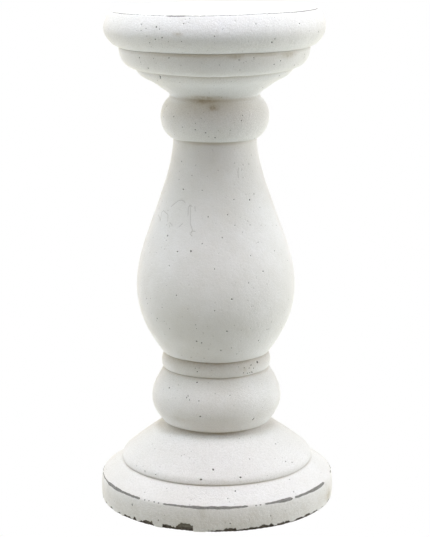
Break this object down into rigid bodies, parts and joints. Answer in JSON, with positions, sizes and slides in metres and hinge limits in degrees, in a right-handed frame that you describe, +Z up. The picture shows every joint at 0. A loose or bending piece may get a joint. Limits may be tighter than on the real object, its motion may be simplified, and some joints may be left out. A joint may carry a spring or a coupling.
{
  "type": "baluster pillar candlestick",
  "caption": "Painted cast-stone baluster candlestick: a dished round plate for a pillar candle on a turned-shape column and a wide round plinth.",
  "frame": {"origin": "on the axis of the column, at the table the pads stand on", "axes": "+Z up the axis of the column; -Y is the side seen from the front; +X to the right of it"},
  "size_m": [0.1674, 0.1674, 0.35],
  "materials": {
    "painted_casting": "matt white paint over a pitted cement casting, worn to grey at edges",
    "brass_insert": "as machined",
    "zinc_steel": "bright zinc plated",
    "felt": "dark felt"
  },
  "bodies": {
    "root": {"plinth": "painted_casting", "bell_foot": "painted_casting", "lower_bulb": "painted_casting", "collar_ring": "painted_casting", "vase_body": "painted_casting", "neck_bead": "painted_casting", "lower_moulding": "painted_casting", "upper_moulding": "painted_casting", "candle_plate": "painted_casting", "threaded_insert": "brass_insert", "tie_rod": "zinc_steel", "penny_washer": "zinc_steel", "spring_washer": "zinc_steel", "hex_nut": "zinc_steel", "felt_pad_front": "felt", "felt_pad_right": "felt", "felt_pad_back": "felt", "felt_pad_left": "felt"}
  },
  "joints": []
}
